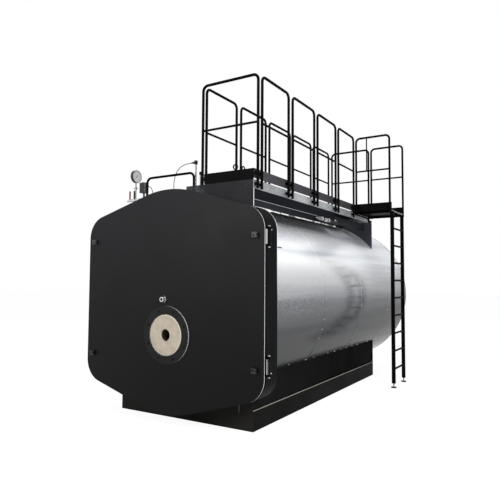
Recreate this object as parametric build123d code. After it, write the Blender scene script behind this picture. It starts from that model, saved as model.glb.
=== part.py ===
from build123d import *
from math import cos, pi, radians, sin, sqrt, tan
import os

os.makedirs("parts", exist_ok=True)

# Industrial fire-tube boiler. Millimetres. The lengths below are measured from the plane
# of the front door's outer face, with +Z up, +Y to the rear and +X to the right of someone
# who faces the door. The saved model's origin is on the floor, on the centre line, under
# the middle of the skid's front plate.

# Boiler shell: the clad cylinder that everything else is set out from
shell_radius = 1150
shell_floor_clearance = 130
cladding_thickness = 8
cladding_sheet_count = 4
cladding_sheet_width = 1245
cladding_last_sheet_width = 1065

# Front door and casing: one outline, an arc over the shell with sloping sides that run
# tangent from it into upright sides
door_arc_margin = 20
door_side_margin = 26
door_slope_angle = 16
door_corner_radius = 250
door_skin_thickness = 15
door_gap = 20
casing_depth = 215
casing_bore_margin = 80
lining_clearance = 20
lining_depth = 210

# Burner opening in the door
burner_drop = 358
burner_plate_radius = 300
burner_plate_thickness = 15
burner_plate_chamfer = 3
quarl_front_radius = 214
quarl_body_margin = 21
quarl_proud = 3
quarl_chamfer = 12
quarl_bore_radius = 63
quarl_bore_length = 120
quarl_mouth_radius = 150
fit_gap = 0.3
burner_bolt_circle = 260
burner_bolt_count = 8
burner_bolt_hole_radius = 6.5

# Sight glass and the four star knobs that hold the door shut
sight_glass_x = -45
sight_glass_rise = 368
sight_glass_radius = 22
sight_glass_flange_radius = 36
sight_glass_flange_thickness = 10
sight_glass_reach = 32
knob_side_margin = 96
knob_upper_rise = 643
knob_lower_drop = 621
knob_lobe_radius = 13
knob_lobe_circle = 20
knob_hub_radius = 16
knob_thickness = 22
knob_stem_radius = 7
knob_stem_length = 14

# Door hinges, on the right upright side
hinge_side_offset = 24
hinge_axis_setback = 10
hinge_upper_rise = 625
hinge_lower_drop = 580
hinge_span = 188
hinge_ear_height = 24
hinge_ear_radius = 17
hinge_pin_radius = 8
hinge_pin_overhang = 12
hinge_nut_radius = 14
hinge_nut_thickness = 10
hinge_running_gap = 0.05
hinge_end_gap = 1
hinge_strap_thickness = 10
hinge_strap_lap = 60
hinge_plate_thickness = 8
hinge_plate_depth = 70
hinge_plate_setback = 27
hinge_ear_lap = 10

# Pressure parts behind the casing
tube_plate_margin = 50
tube_plate_thickness = 24
vessel_margin = 65
vessel_wall = 16
vessel_length = 3720
furnace_radius = 350
furnace_wall = 16
reversal_depth = 520
smoke_tube_radius = 44
smoke_tube_wall = 4
smoke_tube_reach = 10
smoke_tube_pitch = 138
smoke_tube_row_pitch = 120
smoke_tube_rows = 4
smoke_tube_first_row = 90
smoke_tube_edge = 110

# Rear end
rear_cover_thickness = 12
rear_door_radius = 420
rear_door_thickness = 40
rear_door_fillet = 12
flue_rise = 570
flue_radius = 250
flue_wall = 6
flue_length = 190
flue_flange_radius = 310
flue_flange_thickness = 14

# Base skid
base_start = 280
base_end = 3990
base_half_width = 892
base_beam_height = 208
base_beam_width = 90
base_web = 10
base_skirt_thickness = 10
base_skirt_inset = 12

# Walkway on top
deck_left = 275
deck_right = 900
deck_end = 3770
deck_shell_gap = 26
deck_depth = 92
edge_plate_thickness = 6
deck_sheet_thickness = 6
cross_member_thickness = 10
cross_member_count = 6
bearer_width = 60
bearer_right_height = 100
bearer_right_inset = 200
bearer_left_inset = 60
bearer_shell_gap = 3
front_plate_left = 40
support_plate_thickness = 6
rear_plate_y = 3990
rear_plate_inset = 11
side_channel_height = 191
side_channel_end = 2400
side_channel_web = 8
side_channel_flange = 60
side_trim_width = 26
side_trim_overhang = 4
side_trim_thickness = 8
junction_box_setback = 290
junction_box_length = 275
junction_box_height = 50
junction_box_depth = 35
junction_box_rise = 18

# Two lifting eyes that rise through the deck behind its front toe board, the second
# turned edge on: x, height of the ring's centre above the deck, and turn in degrees
lifting_eyes_y = 300
lifting_eye_places = (
    (648, 160, 0),
    (745, 128, 90),
)
eye_ring_radius = 25
eye_bar_radius = 7
eye_stem_radius = 10
eye_collar_radius = 20
eye_collar_height = 14

# Toe boards and handrails
toe_gap = 15
toe_height = 100
toe_thickness = 5
corner_gap = 0.3
rail_tube_radius = 15
mid_rail_radius = 12
rail_height = 1087
mid_rail_height = 591
rail_bend_radius = 60
rail_offset = 35
rail_gap = 100
right_rail_count = 4
right_rail_start_margin = 99
right_rail_end_margin = 110
left_rail_count = 5
left_rail_start_margin = 84
left_rail_end_margin = 20
front_rail_setback = 19
rear_rail_shift = 5
lug_height = 30
lug_width = 24

# Side platform and ladder
platform_length = 625
platform_width = 515
platform_depth = 36
platform_ear = 48
platform_nosing_thickness = 16
platform_rail_inner_margin = 50
platform_rail_outer_margin = 32
platform_strut_offset = 210
platform_strut_radius = 9
ladder_offset = 46
ladder_front_margin = 20
ladder_rear_margin = 88
stile_depth = 50
stile_width = 25
stile_floor_gap = 60
stile_lug_width = 20
rung_radius = 14
rung_first_height = 255
rung_pitch = 250
rung_count = 9
foot_pad_radius = 38
foot_pad_thickness = 12
foot_rod_radius = 9

# Instruments behind the top of the door, on a manifold level with the top of the shell
instrument_y = 292
manifold_radius = 17
manifold_left = -880
manifold_right = -600
manifold_nozzle_x = -700
gauge_x = -752
gauge_rise = 280
gauge_radius = 75
gauge_depth = 36
gauge_rim = 6
gauge_back_fillet = 4
gauge_stem_radius = 8
cock_rise = 142
cock_radius = 12
cock_height = 28
cock_arm = 32
cock_arm_radius = 5
red_lever_x = -845
black_lever_x = -775
lever_stem_radius = 9
lever_stem_height = 22
lever_width = 18
lever_thickness = 8
lever_height = 75
switch_x = -622
switch_width = 84
switch_depth = 70
switch_height = 118
switch_rise = 75
switch_fillet = 6
switch_stem_radius = 11
switch_cap_radius = 7
switch_cap_height = 14
switch_cap_offset = 20
switch_gland_rise = 70
switch_gland_radius = 8
switch_gland_length = 16
hoop_left = -551
hoop_right = 128
hoop_rise = 235
hoop_tube_radius = 13.5
hoop_bend_radius = 60
probe_x = 122
probe_y = 310
probe_rise = 335
probe_rod_radius = 9
probe_boss_radius = 18
probe_boss_height = 45
probe_head_radius = 20
probe_head_height = 40
probe_head_fillet = 6
head_gland_radius = 7
head_gland_length = 10
short_probe_x = 186
short_probe_rise = 210
short_probe_rod_radius = 8
short_probe_boss_radius = 16
short_probe_cap_radius = 14
short_probe_cap_height = 34
short_probe_cap_fillet = 4
gland_radius = 12
gland_reach = 30
cable_radius = 4
probe_gland_x = -186
switch_gland_x = -475

# Leads: x, and height below the point where the lead starts
probe_cable_route = (
    (52, 0),
    (4, 2),
    (-46, 10),
    (-92, 27),
    (-132, 58),
    (-161, 98),
    (-178, 145),
    (-186, 194),
    (-188, 240),
    (-186, 284),
)
switch_cable_route = (
    (-540, 0),
    (-517, 14),
    (-499, 36),
    (-487, 66),
    (-479, 104),
    (-476, 144),
    (-475, 182),
)

# Places that follow from the sizes above
axis_height = shell_radius + shell_floor_clearance
shell_crown = axis_height + shell_radius
door_arc_radius = shell_radius + door_arc_margin
door_half_width = shell_radius + door_side_margin
casing_front = door_skin_thickness + door_gap
casing_rear = casing_front + casing_depth
last_joint = casing_rear + (cladding_sheet_count - 1) * cladding_sheet_width
shell_end = last_joint + cladding_last_sheet_width
casing_bore_radius = shell_radius - casing_bore_margin
burner_height = axis_height - burner_drop
quarl_body_radius = quarl_front_radius + quarl_body_margin
hinge_axis_x = door_half_width + hinge_side_offset
hinge_axis_y = casing_front + hinge_axis_setback
hinge_plate_start = casing_front + hinge_plate_setback
door_hinge_heights = (axis_height + hinge_upper_rise, axis_height - hinge_lower_drop)
tube_plate_radius = shell_radius - tube_plate_margin
flue_height = axis_height + flue_rise
origin_y = base_start + base_web / 2
deck_start = casing_rear + support_plate_thickness
deck_bottom = axis_height + sqrt(shell_radius**2 - deck_left**2) + deck_shell_gap
deck_top = deck_bottom + deck_depth
rail_top = deck_top + rail_height
mid_rail = deck_top + mid_rail_height
toe_bottom = deck_top + toe_gap
platform_start = deck_end - platform_length
platform_right = deck_right + platform_width
platform_bottom = deck_top - platform_depth
nosing_bottom = deck_top - platform_nosing_thickness
ladder_x = platform_right + ladder_offset
manifold_height = shell_crown
probe_height = shell_crown + probe_rise
switch_bottom = manifold_height + switch_rise
hoop_y = deck_start + hoop_tube_radius + fit_gap


def box(x0, x1, y0, y1, z0, z1):
    """A box between two corners."""
    size = (abs(x1 - x0), abs(y1 - y0), abs(z1 - z0))
    return Pos((x0 + x1) / 2, (y0 + y1) / 2, (z0 + z1) / 2) * Box(*size)


def rod_y(radius, x, z, y0, y1):
    """A round bar along Y."""
    return Pos(x, (y0 + y1) / 2, z) * Rot(90, 0, 0) * Cylinder(radius, abs(y1 - y0))


def rod_x(radius, y, z, x0, x1):
    """A round bar along X."""
    return Pos((x0 + x1) / 2, y, z) * Rot(0, 90, 0) * Cylinder(radius, abs(x1 - x0))


def rod_z(radius, x, y, z0, z1):
    """A round bar along Z."""
    return Pos(x, y, (z0 + z1) / 2) * Cylinder(radius, abs(z1 - z0))


def tube_y(outer, inner, z, y0, y1, x=0):
    """A round tube along Y."""
    return rod_y(outer, x, z, y0, y1) - rod_y(inner, x, z, y0 - 1, y1 + 1)


def shell_top(x, radius=shell_radius):
    """Height of the shell's upper surface at x."""
    return axis_height + sqrt(radius**2 - x**2)


def casing_top(x):
    """Height of the door and casing outline's upper edge at x."""
    touch = door_arc_radius * sin(radians(door_slope_angle))
    if abs(x) <= touch:
        return axis_height + sqrt(door_arc_radius**2 - x**2)
    start = axis_height + door_arc_radius * cos(radians(door_slope_angle))
    return start - (abs(x) - touch) * tan(radians(door_slope_angle))


def save(shape, name):
    """Writes one node, moved to the model's origin."""
    export_step(Pos(0, -origin_y, 0) * shape, f"parts/{name}.step")


def door_outline():
    """The face of the door and casing, in the XZ plane through the origin."""
    slope = radians(door_slope_angle)
    touch_x = door_arc_radius * sin(slope)
    touch_z = door_arc_radius * cos(slope)
    corner_z = touch_z - (door_half_width - touch_x) * tan(slope)
    run = door_corner_radius * tan((pi / 2 - slope) / 2)
    side_z = corner_z - run
    slope_x = door_half_width - run * cos(slope)
    slope_z = corner_z + run * sin(slope)
    centre_x = door_half_width - door_corner_radius
    half_turn = (pi / 2 - slope) / 2
    mid_x = centre_x + door_corner_radius * cos(half_turn)
    mid_z = side_z + door_corner_radius * sin(half_turn)
    edges = [ThreePointArc((-touch_x, touch_z), (0, door_arc_radius), (touch_x, touch_z))]
    edges.append(Line((touch_x, touch_z), (slope_x, slope_z)))
    edges.append(ThreePointArc((slope_x, slope_z), (mid_x, mid_z), (door_half_width, side_z)))
    edges.append(Line((door_half_width, side_z), (door_half_width, -side_z)))
    edges.append(ThreePointArc((door_half_width, -side_z), (mid_x, -mid_z), (slope_x, -slope_z)))
    edges.append(Line((slope_x, -slope_z), (touch_x, -touch_z)))
    edges.append(ThreePointArc((touch_x, -touch_z), (0, -door_arc_radius), (-touch_x, -touch_z)))
    edges.append(Line((-touch_x, -touch_z), (-slope_x, -slope_z)))
    edges.append(ThreePointArc((-slope_x, -slope_z), (-mid_x, -mid_z), (-door_half_width, -side_z)))
    edges.append(Line((-door_half_width, -side_z), (-door_half_width, side_z)))
    edges.append(ThreePointArc((-door_half_width, side_z), (-mid_x, mid_z), (-slope_x, slope_z)))
    edges.append(Line((-slope_x, slope_z), (-touch_x, touch_z)))
    return make_face(Curve() + edges)


def door_prism(y0, y1):
    """The door outline extruded from y0 to y1."""
    face = Plane((0, y1, axis_height), x_dir=(1, 0, 0), z_dir=(0, -1, 0)) * door_outline()
    return extrude(face, y1 - y0)


def front_door():
    """Everything that swings with the door."""
    skin = door_prism(0, door_skin_thickness)
    skin -= rod_y(quarl_body_radius + fit_gap, 0, burner_height, -1, door_skin_thickness + 1)
    save(skin, "door_skin")

    lining_radius = casing_bore_radius - lining_clearance
    lining_end = door_skin_thickness + lining_depth
    lining = rod_y(lining_radius, 0, axis_height, door_skin_thickness, lining_end)
    lining -= rod_y(quarl_body_radius + fit_gap, 0, burner_height, 0, lining_end + 1)
    save(lining, "door_lining")

    plate = rod_y(burner_plate_radius, 0, burner_height, -burner_plate_thickness, 0)
    plate = chamfer(plate.edges().sort_by(Axis.Y)[:1], burner_plate_chamfer)
    plate -= rod_y(quarl_front_radius, 0, burner_height, -burner_plate_thickness - 1, 1)
    for i in range(burner_bolt_count):
        turn = 2 * pi * (i + 0.5) / burner_bolt_count
        hole_x = burner_bolt_circle * cos(turn)
        hole_z = burner_height + burner_bolt_circle * sin(turn)
        plate -= rod_y(burner_bolt_hole_radius, hole_x, hole_z, -burner_plate_thickness - 1, 1)
    save(plate, "burner_plate")

    quarl_front = -burner_plate_thickness - quarl_proud
    boss = rod_y(quarl_front_radius - fit_gap, 0, burner_height, quarl_front, 0)
    boss = chamfer(boss.edges().sort_by(Axis.Y)[:1], quarl_chamfer)
    quarl = boss + rod_y(quarl_body_radius, 0, burner_height, 0, lining_end)
    bore_end = quarl_front + quarl_bore_length
    quarl -= rod_y(quarl_bore_radius, 0, burner_height, quarl_front - 1, bore_end)
    flare = Pos(0, (bore_end + lining_end) / 2, burner_height) * Rot(90, 0, 0) * Cone(
        quarl_mouth_radius, quarl_bore_radius, lining_end - bore_end
    )
    save(quarl - flare, "burner_quarl")

    height = burner_height + sight_glass_rise
    glass = rod_y(sight_glass_radius, sight_glass_x, height, -sight_glass_reach, 0)
    flange_front = -sight_glass_flange_thickness
    glass += rod_y(sight_glass_flange_radius, sight_glass_x, height, flange_front, 0)
    save(glass, "sight_glass")

    knobs = []
    for height in (axis_height + knob_upper_rise, axis_height - knob_lower_drop):
        for side in (-1, 1):
            x = side * (door_half_width - knob_side_margin)
            head_back = -knob_stem_length
            head_front = head_back - knob_thickness
            knob = rod_y(knob_hub_radius, x, height, head_front, head_back)
            for lobe in range(4):
                turn = pi / 4 + lobe * pi / 2
                lobe_x = x + knob_lobe_circle * cos(turn)
                lobe_z = height + knob_lobe_circle * sin(turn)
                knob += rod_y(knob_lobe_radius, lobe_x, lobe_z, head_front, head_back)
            knob += rod_y(knob_stem_radius, x, height, head_back, 0)
            knobs.append(knob)
    save(Compound(children=knobs), "door_knobs")

    straps = []
    for height in door_hinge_heights:
        half = hinge_span / 2 - hinge_ear_height - hinge_end_gap
        barrel = rod_z(hinge_ear_radius, hinge_axis_x, hinge_axis_y, height - half, height + half)
        barrel += box(
            hinge_axis_x - hinge_ear_radius,
            hinge_axis_x,
            door_skin_thickness,
            hinge_axis_y,
            height - half,
            height + half,
        )
        strap_left = door_half_width - hinge_strap_lap
        barrel += box(
            strap_left,
            hinge_axis_x,
            door_skin_thickness,
            door_skin_thickness + hinge_strap_thickness,
            height - half,
            height + half,
        )
        hole = hinge_pin_radius + hinge_running_gap
        barrel -= rod_z(hole, hinge_axis_x, hinge_axis_y, height - hinge_span, height + hinge_span)
        straps.append(barrel)
    save(Compound(children=straps), "door_hinge_straps")


def fixed_hinges():
    """The hinge brackets on the casing's side and their pins."""
    brackets = []
    pins = []
    for height in door_hinge_heights:
        half = hinge_span / 2
        plate = box(
            door_half_width,
            door_half_width + hinge_plate_thickness,
            hinge_plate_start,
            hinge_plate_start + hinge_plate_depth,
            height - half,
            height + half,
        )
        for side in (-1, 1):
            outer = height + side * half
            inner = height + side * (half - hinge_ear_height)
            low = min(outer, inner)
            high = max(outer, inner)
            ear = rod_z(hinge_ear_radius, hinge_axis_x, hinge_axis_y, low, high)
            ear += box(
                door_half_width,
                hinge_axis_x + hinge_ear_radius,
                hinge_axis_y,
                hinge_plate_start + hinge_ear_lap,
                low,
                high,
            )
            ear -= rod_z(hinge_pin_radius, hinge_axis_x, hinge_axis_y, low - 1, high + 1)
            plate += ear
        brackets.append(plate)
        bottom = height - half - hinge_pin_overhang
        top = height + half + hinge_pin_overhang
        pin = rod_z(hinge_pin_radius, hinge_axis_x, hinge_axis_y, bottom, top)
        for low in (height - half - hinge_nut_thickness, height + half):
            nut = Pos(hinge_axis_x, hinge_axis_y, low) * extrude(
                RegularPolygon(hinge_nut_radius, 6), hinge_nut_thickness
            )
            pin += nut
        pins.append(pin)
    save(Compound(children=brackets), "hinge_brackets")
    save(Compound(children=pins), "hinge_pins")


def boiler_body():
    """Casing, tube plates, furnace and the clad shell."""
    casing = door_prism(casing_front, casing_rear)
    casing -= rod_y(casing_bore_radius, 0, axis_height, casing_front - 1, casing_rear + 1)
    save(casing, "front_casing")

    plate_end = casing_rear + tube_plate_thickness
    plate = rod_y(tube_plate_radius, 0, axis_height, casing_rear, plate_end)
    plate -= rod_y(furnace_radius, 0, burner_height, casing_rear - 1, plate_end + 1)
    save(plate, "front_tube_plate")

    tubes = []
    for row in range(smoke_tube_rows):
        z = burner_height + furnace_radius + smoke_tube_first_row + row * smoke_tube_row_pitch
        reach = sqrt((casing_bore_radius - smoke_tube_edge) ** 2 - (z - axis_height) ** 2)
        offset = smoke_tube_pitch / 2 * (row % 2)
        count = int((reach - offset) // smoke_tube_pitch)
        places = [offset + i * smoke_tube_pitch for i in range(count + 1)]
        for x in places + [-place for place in places if place > 0]:
            tubes.append(
                tube_y(
                    smoke_tube_radius,
                    smoke_tube_radius - smoke_tube_wall,
                    z,
                    casing_rear - smoke_tube_reach,
                    casing_rear,
                    x,
                )
            )
    save(Compound(children=tubes), "smoke_tube_ends")

    furnace_length = vessel_length - reversal_depth
    furnace = tube_y(
        furnace_radius + furnace_wall,
        furnace_radius,
        burner_height,
        plate_end,
        plate_end + furnace_length,
    )
    back = plate_end + furnace_length
    furnace += rod_y(furnace_radius + furnace_wall, 0, burner_height, back, back + furnace_wall)
    save(furnace, "furnace_tube")

    vessel_end = plate_end + vessel_length
    vessel_radius = shell_radius - vessel_margin
    vessel = tube_y(vessel_radius, vessel_radius - vessel_wall, axis_height, plate_end, vessel_end)
    save(vessel, "pressure_vessel")
    rear_plate = rod_y(
        tube_plate_radius, 0, axis_height, vessel_end, vessel_end + tube_plate_thickness
    )
    save(rear_plate, "rear_tube_plate")

    joints = [casing_rear + i * cladding_sheet_width for i in range(cladding_sheet_count)]
    joints.append(shell_end)
    for i in range(len(joints) - 1):
        sheet = tube_y(
            shell_radius, shell_radius - cladding_thickness, axis_height, joints[i], joints[i + 1]
        )
        save(sheet, f"cladding_sheet_{i + 1}")


def rear_end():
    """Rear cover with its flue outlet and access door."""
    cover_end = shell_end + rear_cover_thickness
    cover = rod_y(shell_radius, 0, axis_height, shell_end, cover_end)
    cover -= rod_y(flue_radius, 0, flue_height, shell_end - 1, cover_end + 1)
    save(cover, "rear_cover")
    door_end = cover_end + rear_door_thickness
    door = rod_y(rear_door_radius, 0, burner_height, cover_end, door_end)
    door = fillet(door.edges().sort_by(Axis.Y)[-1:], rear_door_fillet)
    save(door, "rear_access_door")
    stub = tube_y(flue_radius + flue_wall, flue_radius, flue_height, cover_end, cover_end + flue_length)
    flange_start = cover_end + flue_length - flue_flange_thickness
    stub += tube_y(
        flue_flange_radius, flue_radius, flue_height, flange_start, cover_end + flue_length
    )
    save(stub, "flue_outlet")


def base():
    """The skid under the shell: side channels, end plates and skirts."""
    shell = rod_y(shell_radius, 0, axis_height, base_start - 100, base_end + 100)
    beams = []
    for side in (-1, 1):
        outer = side * base_half_width
        inner = side * (base_half_width - base_beam_width)
        web_in = side * (base_half_width - base_web)
        start = base_start + base_web
        end = base_end - base_web
        beam = box(web_in, outer, start, end, 0, base_beam_height)
        beam += box(inner, outer, start, end, 0, base_web)
        beam += box(inner, outer, start, end, base_beam_height - base_web, base_beam_height)
        beams.append(beam)
    save(Compound(children=beams), "base_side_beams")

    ends = []
    for low in (base_start, base_end - base_web):
        plate = box(-base_half_width, base_half_width, low, low + base_web, 0, axis_height)
        ends.append(plate - shell)
    save(Compound(children=ends), "base_end_plates")

    skirts = []
    for side in (-1, 1):
        outer = side * (base_half_width - base_skirt_inset)
        inner = side * (base_half_width - base_skirt_inset - base_skirt_thickness)
        low = base_beam_height
        start = base_start + base_web
        end = base_end - base_web
        skirts.append(box(outer, inner, start, end, low, axis_height) - shell)
    save(Compound(children=skirts), "base_skirts")


def walkway_frame():
    """Support plates, bearers, deck and side channel."""
    shell = rod_y(shell_radius, 0, axis_height, 0, shell_end)
    low = axis_height
    front = box(
        front_plate_left,
        deck_right,
        casing_rear,
        casing_rear + support_plate_thickness,
        low,
        deck_top,
    )
    save(front - shell, "walkway_front_plate")
    rear = box(
        deck_left,
        deck_right - rear_plate_inset,
        rear_plate_y,
        rear_plate_y + support_plate_thickness,
        low,
        deck_bottom,
    )
    save(rear - shell, "walkway_rear_plate")

    start = casing_rear + support_plate_thickness
    right_bearer = deck_right - bearer_right_inset
    left_bearer = deck_left + bearer_left_inset
    frame = box(
        right_bearer,
        right_bearer + bearer_width,
        start,
        rear_plate_y,
        deck_bottom - bearer_right_height,
        deck_bottom,
    )
    frame += box(
        left_bearer,
        left_bearer + bearer_width,
        start,
        rear_plate_y,
        shell_top(left_bearer) + bearer_shell_gap,
        deck_bottom,
    )
    inside_left = deck_left + edge_plate_thickness
    inside_right = deck_right - edge_plate_thickness
    inside_start = deck_start + edge_plate_thickness
    inside_end = deck_end - edge_plate_thickness
    pitch = (inside_end - inside_start) / (cross_member_count + 1)
    for i in range(cross_member_count):
        y = inside_start + pitch * (i + 1)
        frame += box(
            inside_left,
            inside_right,
            y - cross_member_thickness / 2,
            y + cross_member_thickness / 2,
            deck_bottom,
            deck_top - deck_sheet_thickness,
        )
    save(frame, "walkway_underframe")

    edge = box(deck_left, deck_right, deck_start, deck_end, deck_bottom, deck_top)
    edge -= box(
        inside_left, inside_right, inside_start, inside_end, deck_bottom - 1, deck_top + 1
    )
    save(edge, "deck_edge_plates")
    sheet = box(
        inside_left,
        inside_right,
        inside_start,
        inside_end,
        deck_top - deck_sheet_thickness,
        deck_top,
    )
    save(sheet, "deck_sheet")

    channel_bottom = deck_bottom - side_channel_height
    channel = box(
        deck_right - side_channel_web,
        deck_right,
        start,
        side_channel_end,
        channel_bottom,
        deck_bottom,
    )
    for z in (channel_bottom, deck_bottom - side_channel_web):
        channel += box(
            deck_right - side_channel_flange,
            deck_right,
            start,
            side_channel_end,
            z,
            z + side_channel_web,
        )
    save(channel, "side_channel")
    trim = box(
        deck_right - side_trim_width,
        deck_right + side_trim_overhang,
        start,
        side_channel_end,
        channel_bottom - side_trim_thickness,
        channel_bottom,
    )
    save(trim, "side_channel_trim")
    junction = box(
        deck_right,
        deck_right + junction_box_depth,
        side_channel_end - junction_box_setback,
        side_channel_end - junction_box_setback + junction_box_length,
        channel_bottom + junction_box_rise,
        channel_bottom + junction_box_rise + junction_box_height,
    )
    save(junction, "junction_box")


def lifting_eyes():
    """Eye bolts on the deck, each a ring on a stem with a collar."""
    eyes = []
    for x, rise, turn in lifting_eye_places:
        ring = Rot(0, 0, turn) * Rot(90, 0, 0) * Torus(eye_ring_radius, eye_bar_radius)
        ring = Pos(x, lifting_eyes_y, deck_top + rise) * ring
        ring += rod_z(
            eye_stem_radius, x, lifting_eyes_y, deck_top, deck_top + rise - eye_ring_radius
        )
        ring += rod_z(
            eye_collar_radius, x, lifting_eyes_y, deck_top, deck_top + eye_collar_height
        )
        eyes.append(ring)
    save(Compound(children=eyes), "lifting_eyes")


def toe_boards():
    """Upright boards round the deck and the side platform."""
    top = toe_bottom + toe_height
    boards = [
        box(deck_right - toe_thickness, deck_right, deck_start, platform_start, toe_bottom, top),
        box(deck_left, deck_left + toe_thickness, deck_start, deck_end, toe_bottom, top),
        box(
            deck_left + toe_thickness + corner_gap,
            deck_right - toe_thickness - corner_gap,
            deck_start,
            deck_start + toe_thickness,
            deck_top,
            top,
        ),
        box(
            deck_left + toe_thickness + corner_gap,
            platform_right + platform_ear,
            deck_end - toe_thickness,
            deck_end,
            toe_bottom,
            top,
        ),
        box(
            deck_right + corner_gap,
            platform_right + platform_ear,
            platform_start,
            platform_start + toe_thickness,
            deck_top,
            top,
        ),
    ]
    save(Compound(children=boards), "toe_boards")


def hoop(start, end, bottom, top, radius, bend):
    """An upside-down U of round tube between two upright legs."""
    start = Vector(start)
    end = Vector(end)
    low_a = Vector(start.X, start.Y, bottom)
    low_b = Vector(end.X, end.Y, bottom)
    high_a = Vector(start.X, start.Y, top)
    high_b = Vector(end.X, end.Y, top)
    path = FilletPolyline(low_a, high_a, high_b, low_b, radius=bend)
    profile = Plane(origin=low_a, z_dir=(0, 0, 1)) * Circle(radius)
    return sweep(profile, path=path)


def lug_along_x(x, tip, y, z):
    """A flat lug from a rail leg at x to the face at tip."""
    return box(x, tip, y - lug_width / 2, y + lug_width / 2, z - lug_height / 2, z + lug_height / 2)


def lug_along_y(y, tip, x, z):
    """A flat lug from a rail leg at y to the face at tip."""
    return box(x - lug_width / 2, x + lug_width / 2, y, tip, z - lug_height / 2, z + lug_height / 2)


def handrail(start, end, inward, lug_heights, foot=None):
    """One bolted handrail panel: bent tube, mid rail and lugs that reach inward to the deck."""
    low = deck_bottom if foot is None else foot
    panel = hoop(start, end, low, rail_top, rail_tube_radius, rail_bend_radius)
    a = Vector(start[0], start[1], mid_rail)
    b = Vector(end[0], end[1], mid_rail)
    rail = Plane(origin=a, z_dir=b - a) * Circle(mid_rail_radius)
    panel += extrude(rail, (b - a).length)
    for x, y in (start, end):
        for z in lug_heights:
            if inward[0]:
                panel += lug_along_x(x, x + inward[0] * rail_offset, y, z)
            if inward[1]:
                panel += lug_along_y(y, y + inward[1] * rail_offset, x, z)
    return panel


def rail_row(start, end, count):
    """Where each of a row of equal panels starts and ends."""
    length = (end - start - (count - 1) * rail_gap) / count
    starts = [start + i * (length + rail_gap) for i in range(count)]
    return [(low, low + length) for low in starts]


def handrails():
    """All the panels round the walkway and the side platform."""
    toe_middle = toe_bottom + toe_height / 2
    lugs = ((deck_top + deck_bottom) / 2, toe_middle)
    left = deck_left - rail_offset
    right = deck_right + rail_offset
    front = deck_start + front_rail_setback
    rear = deck_end + rail_offset
    panel = handrail((left, front), (right, front), (0, 0), lugs)
    for x, tip in ((left, deck_left), (right, deck_right)):
        for z in lugs:
            panel += lug_along_x(x, tip, front, z)
    save(panel, "handrail_front")
    right_row = rail_row(
        deck_start + right_rail_start_margin, platform_start - right_rail_end_margin, right_rail_count
    )
    left_row = rail_row(
        deck_start + left_rail_start_margin, deck_end - left_rail_end_margin, left_rail_count
    )
    panels = [handrail((right, a), (right, b), (-1, 0), lugs) for a, b in right_row]
    save(Compound(children=panels), "handrails_right")
    panels = [handrail((left, a), (left, b), (1, 0), lugs) for a, b in left_row]
    save(Compound(children=panels), "handrails_left")
    rear_left = deck_left + rear_rail_shift
    rear_right = deck_right + rear_rail_shift
    save(handrail((rear_left, rear), (rear_right, rear), (0, -1), lugs), "handrail_rear")
    platform_front = platform_start - rail_offset
    inner = deck_right + platform_rail_inner_margin
    outer = platform_right + platform_rail_outer_margin
    platform_lugs = ((deck_top + platform_bottom) / 2, toe_middle)
    front_panel = handrail(
        (inner, platform_front), (outer, platform_front), (0, 1), platform_lugs, platform_bottom
    )
    strut_x = deck_right + platform_strut_offset
    strut = rod_z(platform_strut_radius, strut_x, platform_front, mid_rail, rail_top)
    save(front_panel + strut, "platform_handrail_front")
    rear_panel = handrail((inner, rear), (outer, rear), (0, -1), platform_lugs, platform_bottom)
    save(rear_panel, "platform_handrail_rear")


def side_platform():
    """The small platform at the rear right, and its ladder."""
    thickness = edge_plate_thickness
    frame = box(deck_right, platform_right, platform_start, deck_end, platform_bottom, deck_top)
    frame -= box(
        deck_right + thickness,
        platform_right - thickness,
        platform_start + thickness,
        deck_end - thickness,
        platform_bottom - 1,
        deck_top + 1,
    )
    ear_end = platform_right + platform_ear
    for y in (platform_start, deck_end - thickness):
        frame += box(platform_right, ear_end, y, y + thickness, platform_bottom, deck_top)
    frame += box(platform_right, ear_end, platform_start, deck_end, nosing_bottom, deck_top)
    save(frame, "platform_frame")
    sheet = box(
        deck_right + thickness,
        platform_right - thickness,
        platform_start + thickness,
        deck_end - thickness,
        deck_top - deck_sheet_thickness,
        deck_top,
    )
    save(sheet, "platform_sheet")

    stiles = []
    feet = []
    inner_face = ladder_x - stile_depth / 2
    ladder_first_y = platform_start + ladder_front_margin
    ladder_second_y = deck_end - ladder_rear_margin
    for y in (ladder_first_y, ladder_second_y):
        stile = box(
            inner_face,
            ladder_x + stile_depth / 2,
            y - stile_width / 2,
            y + stile_width / 2,
            stile_floor_gap,
            nosing_bottom,
        )
        half = stile_lug_width / 2
        stile += box(
            platform_right, inner_face, y - half, y + half, platform_bottom, nosing_bottom
        )
        stiles.append(stile)
        foot = rod_z(foot_rod_radius, ladder_x, y, foot_pad_thickness, stile_floor_gap)
        foot += rod_z(foot_pad_radius, ladder_x, y, 0, foot_pad_thickness)
        feet.append(foot)
    save(Compound(children=stiles), "ladder_stiles")
    save(Compound(children=feet), "ladder_feet")
    rungs = []
    for i in range(rung_count):
        z = rung_first_height + i * rung_pitch
        start = ladder_first_y + stile_width / 2
        end = ladder_second_y - stile_width / 2
        rungs.append(rod_y(rung_radius, ladder_x, z, start, end))
    save(Compound(children=rungs), "ladder_rungs")


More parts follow.
